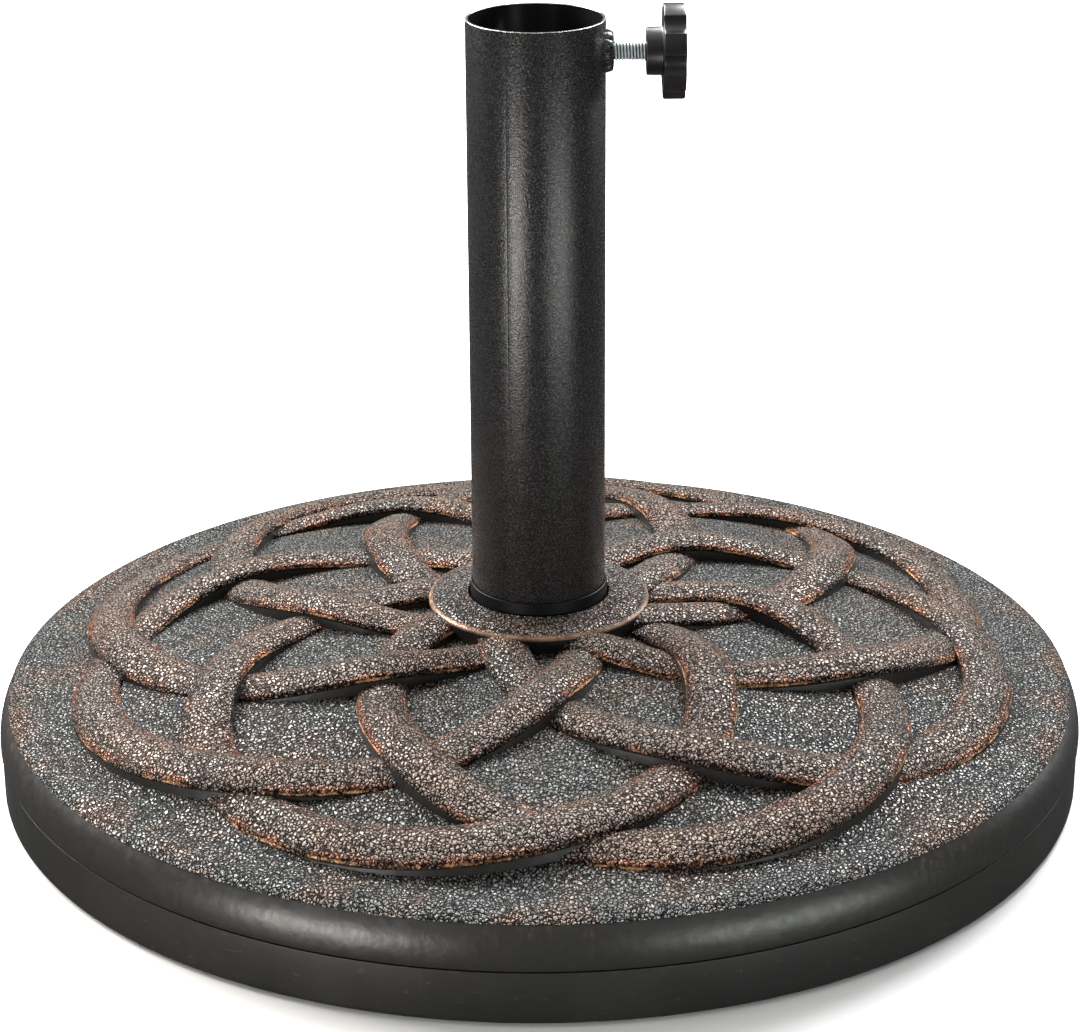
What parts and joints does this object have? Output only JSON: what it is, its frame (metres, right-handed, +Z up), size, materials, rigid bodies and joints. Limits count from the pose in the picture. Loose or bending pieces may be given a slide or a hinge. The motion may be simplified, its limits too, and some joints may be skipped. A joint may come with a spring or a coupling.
{
  "type": "parasol base",
  "caption": "Round weighted parasol base: shell with interlaced raised rings, filled with concrete, with an upright socket tube and a clamp screw with a lobed knob.",
  "frame": {"origin": "centre of the base on the ground plane that its feet stand on", "axes": "+Z up along the tube, +X along the clamp screw towards its knob"},
  "size_m": [0.45, 0.45, 0.3212],
  "materials": {
    "bronzed_resin": "pebble-grained resin, near black with a rubbed bronze finish",
    "dark_resin": "smooth satin dark resin",
    "concrete": "rough cast concrete",
    "liner_plastic": "smooth",
    "plug_plastic": "smooth",
    "foot_rubber": "matt",
    "black_powder_coat": "satin black powder coat with fine orange peel",
    "bare_steel": "plain",
    "zinc_plated_steel": "bright zinc plate",
    "coated_nut_steel": "coated with the tube",
    "coated_weld": "lumpy, coated with the tube",
    "zinc_plated_screw": "bright zinc plate",
    "tip_nylon": "plain",
    "knob_plastic": "fine-grained moulded plastic",
    "cap_plastic": "smooth moulded plastic"
  },
  "bodies": {
    "root": {"upper_shell": "bronzed_resin", "lower_shell": "dark_resin", "concrete_core": "concrete", "socket_liner": "liner_plastic", "collar_ring": "bronzed_resin", "foot_pad_1": "foot_rubber", "foot_pad_2": "foot_rubber", "foot_pad_3": "foot_rubber", "foot_pad_4": "foot_rubber", "foot_pad_5": "foot_rubber", "foot_pad_6": "foot_rubber", "fill_plug": "plug_plastic", "pole_tube": "black_powder_coat", "end_plate": "bare_steel", "end_plate_nut": "bare_steel", "bolt_washer": "zinc_plated_steel", "spring_washer": "zinc_plated_steel", "centre_bolt": "zinc_plated_steel", "clamp_nut": "coated_nut_steel", "weld_bead": "coated_weld"},
    "screw_tip": {"pressure_tip": "tip_nylon"},
    "screw_and_knob": {"clamp_screw": "zinc_plated_screw", "clamp_knob": "knob_plastic", "knob_cap": "cap_plastic"}
  },
  "joints": [
    {"name": "screw_travel", "type": "slide", "parent": "root", "child": "screw_tip", "axis": [1, 0, 0], "range_m": [-0.01251, 0.00188]},
    {"name": "screw_spin", "type": "hinge", "parent": "screw_tip", "child": "screw_and_knob", "pos_m": [0.03, 0, 0.3026], "axis": [1, 0, 0], "range_deg": [-3600, 540]}
  ],
  "couplings": [
    {"joint": "screw_travel", "follows": "screw_spin", "m_per_rad": 0.00019894}
  ]
}
